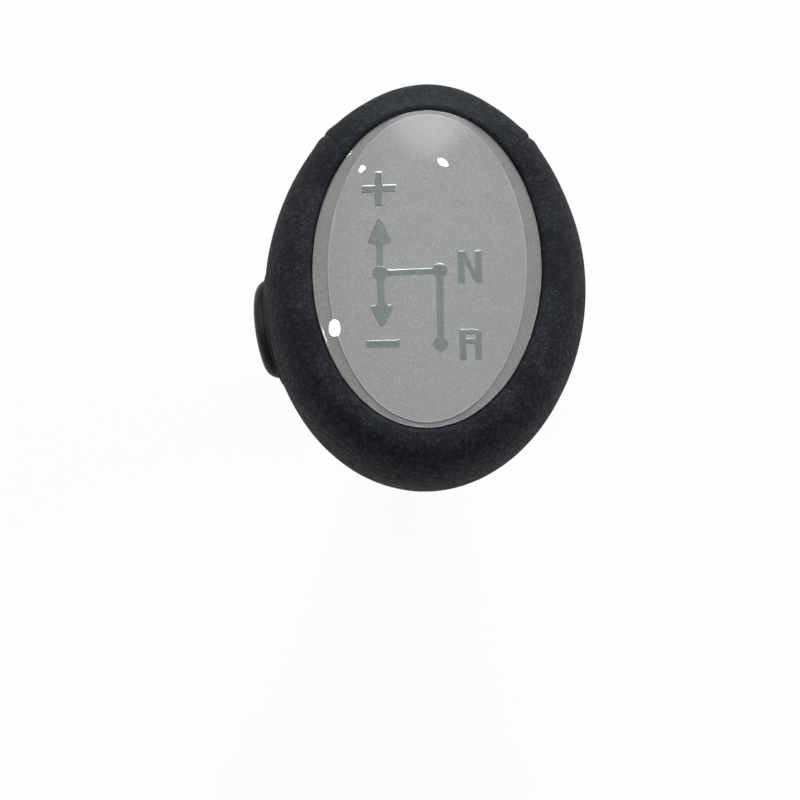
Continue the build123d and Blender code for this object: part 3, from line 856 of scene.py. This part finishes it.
def rounded(loop, radius):
    """Loop with its corners rounded, or as it is where its many points make it round already."""
    count = len(loop)
    if count > ROUND_POINTS:
        return loop
    result = []
    for k in range(count):
        before, here, after = (Vector(loop[(k + d) % count]) for d in (-1, 0, 1))
        u, v = before - here, after - here
        cutoff = min(radius, u.length / CORNER_SHARE, v.length / CORNER_SHARE)
        p, q = here + u.normalized() * cutoff, here + v.normalized() * cutoff
        for t in evenly(0, 1, CORNER_STEPS):
            w = p * (1 - t) ** 2 + here * 2 * t * (1 - t) + q * t ** 2
            result.append((w.x, w.y))
    return result


def mark_piece(name, loops, corner, lift):
    """Raised mark with shallow bright chamfers, turned with the pattern."""
    bm = bmesh.new()
    edges = []
    for loop in loops:
        points = [Matrix.Rotation(MARK_TURN, 2) @ Vector(p) for p in rounded(loop, corner)]
        verts = [bm.verts.new((p.x * MM, p.y * MM, (FIELD - MARK_SINK) * MM)) for p in points]
        edges += [bm.edges.new((verts[k - 1], verts[k])) for k in range(len(verts))]
    bmesh.ops.triangle_fill(bm, use_beauty=True, use_dissolve=False, edges=edges)
    bmesh.ops.recalc_face_normals(bm, faces=bm.faces)
    if bm.faces[:][0].normal.z < 0:
        bmesh.ops.reverse_faces(bm, faces=bm.faces)
    raised = bmesh.ops.extrude_face_region(bm, geom=bm.faces[:])["geom"]
    top_verts = [g for g in raised if isinstance(g, bmesh.types.BMVert)]
    top_faces = [g for g in raised if isinstance(g, bmesh.types.BMFace)]
    bmesh.ops.translate(bm, verts=top_verts, vec=(0, 0, (MARK_SINK + MARK_FOOT + lift) * MM))
    rim = bmesh.ops.inset_region(bm, faces=top_faces, thickness=MARK_CHAMFER * MM, depth=MARK_RISE * MM,
                                 use_even_offset=True)
    for face in rim["faces"]:
        face.material_index = 1
    mesh = bpy.data.meshes.new(name)
    bm.to_mesh(mesh)
    bm.free()
    return link(bpy.data.objects.new(name, mesh))


def mark_grey():
    """Grey paint with fine flecks."""
    mat, tree, bsdf = new_material("mark_grey", MARK_MID, 0.36, 0.6)
    spark = flakes(tree, place(tree), scale=5200.0)
    tone = ramp(tree, spark, [(0.1, MARK_DARK), (0.6, MARK_MID), (1.0, MARK_LIGHT)])
    tree.links.new(tone, bsdf.inputs["Base Color"])
    tree.links.new(ranged(tree, spark, (0.0, 1.0), (0.34, 0.48)), bsdf.inputs["Roughness"])
    bump(tree, bsdf, spark, 0.004 * MM, 0.5)
    return mat


left, right, low = (LEFT_X, LEFT_Y), (RIGHT_X, RIGHT_Y), (LOW_X, LOW_Y)
# name, outlines, rounding of the corners, and lift above the lowest marks
gate = [
    ("mark_plus_raised", [cross_loop(*PLUS, PLUS_WIDTH, PLUS_HEIGHT, PLUS_BAR)], SIGN_CORNER, 0.0),
    ("mark_minus_raised", [box_loop(*MINUS, MINUS_WIDTH, MINUS_BAR)], SIGN_CORNER, 0.0),
    ("mark_up_raised", [arrow_loop(left, (LEFT_X, UP_BASE), (LEFT_X, UP_TIP))], ARROW_CORNER, 0.0),
    ("mark_down_raised", [arrow_loop(left, (DOWN_X, DOWN_BASE), (DOWN_X, DOWN_TIP))], ARROW_CORNER, LAYER),
    ("mark_bar_raised", [bar_loop(left, right, STROKE)], BAR_CORNER, 2 * LAYER),
    ("mark_drop_raised", [bar_loop(right, low, STEM)], BAR_CORNER, 3 * LAYER),
    ("mark_node_left_raised", [disc_loop(*left)], 0.0, 5 * LAYER),
    ("mark_node_right_raised", [disc_loop(*right)], 0.0, 5 * LAYER),
    ("mark_node_low_raised", [disc_loop(*low)], 0.0, 5 * LAYER),
    ("mark_n_raised", [letter_n(*LETTER_N)], LETTER_CORNER, 0.0),
    ("mark_r_raised", letter_r(*LETTER_R), LETTER_CORNER, 0.0),
]
mark_paint = mark_grey()
mark_edge = moulded("mark_edge", (0.285, 0.30, 0.293),
                    rough=0.30, grain=0.3, depth=0.001, spread=0.05, metal=1.0)
for name, loops, corner, lift in gate:
    mark = mark_piece(name, loops, corner, lift)
    mark.data.materials.append(mark_paint)
    mark.data.materials.append(mark_edge)
    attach(mark, "lever")


# Fine bright line round the raised field: a pale wire that paints the highlight along the field's edge

BORDER_WIRE_RADIUS = 0.11
BORDER_INSET = 0.12
BORDER_SINK = 0.03
BORDER_POINTS = 200
BORDER_SIDES = 10


def border_piece():
    """Thin wire round the oval of the raised field, partly sunk into it."""
    half_width = FIELD_HALF_WIDTH - BORDER_INSET
    half_length = FIELD_HALF_LENGTH - BORDER_INSET
    verts, faces = [], []
    for k, turn in enumerate(full_turn(BORDER_POINTS)):
        middle = Vector((half_width * cos(turn), half_length * sin(turn), FIELD - BORDER_SINK))
        out = Vector((cos(turn) / half_width, sin(turn) / half_length, 0)).normalized()
        for tilt in full_turn(BORDER_SIDES):
            p = middle + (out * cos(tilt) + Vector((0, 0, 1)) * sin(tilt)) * BORDER_WIRE_RADIUS
            verts.append(tuple(p * MM))
        following = (k + 1) % BORDER_POINTS
        faces += ring_faces(k * BORDER_SIDES, following * BORDER_SIDES, BORDER_SIDES)
    return mesh_object("badge_border", verts, faces)


# The wire's pale colour is a painted highlight along the edge of the raised field
bright = moulded("painted_highlight_line", (0.66, 0.67, 0.655), rough=0.4, grain=0.4, depth=0.003, spread=0.06)
border = border_piece()
border.data.materials.append(bright)
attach(border, "lever")


# Return spring round the button's stem

SPRING_FIXED = -13.58
SPRING_FREE = -26.83
SPRING_RADIUS = 3.15
SPRING_WIRE_RADIUS = 0.35
SPRING_TURNS = 6
SPRING_MARGIN = 0.05
SPRING_STEPS_PER_TURN = 30
SPRING_STEPS = SPRING_STEPS_PER_TURN * SPRING_TURNS
SPRING_SIDES = 10


def spring_piece():
    """Coil with plain ends, from the guide wall to the button."""
    end_gap = SPRING_WIRE_RADIUS + SPRING_MARGIN
    length = abs(SPRING_FREE - SPRING_FIXED) - 2 * end_gap
    path = []
    for share in evenly(0, 1, SPRING_STEPS):
        turn = 2 * pi * SPRING_TURNS * share
        path.append(Vector((SPRING_FIXED - end_gap - length * share,
                            BUTTON_Y + SPRING_RADIUS * cos(turn),
                            BUTTON_Z + SPRING_RADIUS * sin(turn))))
    verts, faces = [], []
    for k, p in enumerate(path):
        ahead = (path[min(k + 1, SPRING_STEPS)] - path[max(k - 1, 0)]).normalized()
        out = Vector((0, p.y - BUTTON_Y, p.z - BUTTON_Z)).normalized()
        side = ahead.cross(out).normalized()
        for tilt in full_turn(SPRING_SIDES):
            verts.append(tuple((p + (out * cos(tilt) + side * sin(tilt)) * SPRING_WIRE_RADIUS) * MM))
    last = SPRING_STEPS * SPRING_SIDES
    for first in range(0, last, SPRING_SIDES):
        faces += ring_faces(first, first + SPRING_SIDES, SPRING_SIDES)
    faces.append(tuple(range(SPRING_SIDES)))
    faces.append(tuple(range(last, last + SPRING_SIDES)))
    return mesh_object("return_coil", verts, faces)


wire = moulded("spring_wire", (0.55, 0.55, 0.56),
               rough=0.28, grain=0.12, depth=0.004, spread=0.08, metal=1.0, stretch=(0.4, 1, 1))
coil = spring_piece()
coil.data.materials.append(wire)
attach(coil, "lever")
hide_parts("return_spring")
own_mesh(coil)


# Finishes of the solids

finishes = {
    "lever_tube": moulded("stem_black", (0.028, 0.028, 0.031),
                          rough=0.38, grain=0.18, depth=0.010, spread=0.08),
    "lever_bush": moulded("bush_natural", (0.62, 0.60, 0.53),
                          rough=0.45, grain=0.3, depth=0.008, spread=0.06),
    "retaining_pin": moulded("pin_steel", (0.33, 0.33, 0.34),
                             rough=0.35, grain=0.15, depth=0.006, spread=0.10,
                             metal=1.0, stretch=(1, 0.15, 1)),
    "neck_ring": moulded("collar_black", (0.022, 0.022, 0.025),
                         rough=0.46, grain=0.22, depth=0.022, spread=0.07),
    "knob_core": moulded("core_dark", (0.06, 0.06, 0.062),
                         rough=0.5, grain=0.35, depth=0.015, spread=0.06),
    "badge_plate": silver,
    "button_bezel": moulded("bezel_black", (0.012, 0.0125, 0.015),
                            rough=0.42, grain=0.16, depth=0.008, spread=0.06, specular=0.2),
    "button_cap": moulded("button_black", (0.007, 0.0074, 0.0095),
                          rough=0.40, grain=0.14, depth=0.007, spread=0.06, specular=0.12),
    "switch_holder": moulded("holder_dark", (0.07, 0.07, 0.072),
                             rough=0.5, grain=0.3, depth=0.012, spread=0.06),
    "holder_screws": moulded("screw_zinc", (0.55, 0.54, 0.50),
                             rough=0.3, grain=0.2, depth=0.004, spread=0.08, metal=1.0),
    "switch_body": moulded("switch_black", (0.03, 0.03, 0.033),
                           rough=0.42, grain=0.25, depth=0.010, spread=0.06),
    "switch_plunger": moulded("plunger_red", (0.42, 0.05, 0.04),
                              rough=0.38, grain=0.25, depth=0.006, spread=0.05),
    "switch_terminals": moulded("terminal_tin", (0.62, 0.61, 0.57),
                                rough=0.3, grain=0.2, depth=0.004, spread=0.08, metal=1.0),
    "lead_grommet": moulded("grommet_rubber", (0.016, 0.016, 0.017),
                            rough=0.68, grain=0.2, depth=0.012, spread=0.06),
}
for node, finish in finishes.items():
    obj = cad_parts[node]
    obj.data.materials.clear()
    obj.data.materials.append(finish)


# White floor

FLOOR_HALF = 2.0
PAPER = (0.62, 0.62, 0.62)
PAPER_DARK = (0.61, 0.61, 0.61)
PAPER_LIGHT = (0.63, 0.63, 0.63)
WHITE_SHARE = 0.92


def paper_white():
    """Paper that looks white to the camera, in mirrors and through glass, and keeps the object's shadow."""
    mat, tree, bsdf = new_material("paper_white", PAPER, 0.9, specular=0.1)
    fibre = noise_at(tree, place(tree), scale=300.0, detail=4.0)
    tree.links.new(ramp(tree, fibre, [(0.3, PAPER_DARK), (0.7, PAPER_LIGHT)]), bsdf.inputs["Base Color"])
    rays = add_node(tree, "ShaderNodeLightPath").outputs
    through = combine(tree, "MAXIMUM", rays["Is Glossy Ray"], rays["Is Transmission Ray"])
    seen = combine(tree, "MAXIMUM", rays["Is Camera Ray"], through)
    share = combine(tree, "MULTIPLY", seen, WHITE_SHARE)
    white = add_node(tree, "ShaderNodeEmission", {"Color": (1, 1, 1, 1), "Strength": 1.0})
    blend = add_node(tree, "ShaderNodeMixShader", {0: share, 1: bsdf.outputs[0], 2: white.outputs[0]})
    tree.links.new(blend.outputs[0], tree.nodes["Material Output"].inputs["Surface"])
    return mat


corners = [(x * FLOOR_HALF, y * FLOOR_HALF, 0) for x, y in ((-1, -1), (1, -1), (1, 1), (-1, 1))]
floor = mesh_object("floor", corners, [(0, 1, 2, 3)], False)
floor.data.materials.append(paper_white())


# Sky: grey, with a bright patch ahead that the upper end of the badge mirrors

SKY_TINT = (0.97, 0.985, 1.0, 1)
SKY_STRENGTH = 0.30
PATCH_STRENGTH = 4.0
PATCH_TOWARD = (0.03, 0.743, 0.669)
PATCH_COSINES = (0.972, 0.998)

world = bpy.data.worlds.new("studio")
scene.world = world
world.use_nodes = True
sky_tree = world.node_tree
sky = sky_tree.nodes["Background"]
sky.inputs["Color"].default_value = SKY_TINT
gaze = add_node(sky_tree, "ShaderNodeTexCoord").outputs["Generated"]
cosine = vector_math(sky_tree, "DOT_PRODUCT", {0: gaze, 1: PATCH_TOWARD})
glow = ranged(sky_tree, cosine.outputs["Value"], PATCH_COSINES, (SKY_STRENGTH, PATCH_STRENGTH), smooth=True)
sky_tree.links.new(glow, sky.inputs["Strength"])


# Lamps, in metres and watts

KNOB = Vector((0, 0, 0.105))
BULB_REACH = 0.6


def lamp(name, spot, aim, size, power):
    """Round area lamp that faces a point."""
    data = bpy.data.lights.new(name, "AREA")
    data.shape = "DISK"
    data.size = size
    data.energy = power
    obj = link(bpy.data.objects.new(name, data))
    obj.location = spot
    obj.rotation_euler = (Vector(aim) - Vector(spot)).to_track_quat("-Z", "Y").to_euler()
    return obj


def bulb(name, spot, toward, size, size_y, power, spin=0.0):
    """Small oval lamp that a spot on the dome, given in millimetres, mirrors as one highlight."""
    spot = Vector(spot) * MM
    obj = lamp(name, spot + Vector(toward) * BULB_REACH, spot, size, power)
    obj.data.shape = "ELLIPSE"
    obj.data.size_y = size_y
    obj.rotation_euler.rotate_axis("Z", radians(spin))
    obj.visible_diffuse = False


lamp("window_front", (0.1, 1.25, 0.74), KNOB, size=0.75, power=20.0)
lamp("window_left", (-1.2, 0.3, 0.62), KNOB, size=0.8, power=6.0)
lamp("window_right", (1.2, 0.2, 0.62), KNOB, size=0.8, power=10.0)
overhead = lamp("overhead", (0.0, 0.0, 1.3), KNOB, size=0.8, power=3.4)
overhead.visible_glossy = False
bulb("bulb_top", spot=(2.46, 17.09, 114.8), toward=(0.097, 0.584, 0.806),
     size=0.031, size_y=0.0155, power=0.09, spin=-10)
bulb("bulb_corner", spot=(-10.87, 15.98, 114.15), toward=(-0.294, 0.563, 0.772),
     size=0.023, size_y=0.0125, power=0.045)
bulb("bulb_left", spot=(-14.76, -10.78, 113.93), toward=(-0.449, 0.096, 0.89),
     size=0.0345, size_y=0.0404, power=0.13)


# Camera, fitted to the outline: place in millimetres, focal length and frame in pixels

CAMERA_SPOT = (-4.163, -48.643, 270.719)
CAMERA_TILT = radians(80.555)
CAMERA_ROLL = radians(0.661)
FOCAL = 1000.0
FRAME = 800.0
SENSOR = 36.0
CLIP_START = 0.005

camera_data = bpy.data.cameras.new("camera")
camera_data.sensor_fit = "HORIZONTAL"
camera_data.sensor_width = SENSOR
camera_data.lens = FOCAL / FRAME * SENSOR
camera_data.clip_start = CLIP_START
camera = link(bpy.data.objects.new("camera", camera_data))
ahead = Vector((0, cos(CAMERA_TILT), -sin(CAMERA_TILT)))
level = Vector((1, 0, 0))
above = level.cross(ahead)
right_side = level * cos(CAMERA_ROLL) + above * sin(CAMERA_ROLL)
upward = above * cos(CAMERA_ROLL) - level * sin(CAMERA_ROLL)
facing = Matrix((right_side, upward, -ahead)).transposed().to_4x4()
camera.matrix_world = Matrix.Translation(Vector(CAMERA_SPOT) * MM) @ facing
scene.camera = camera
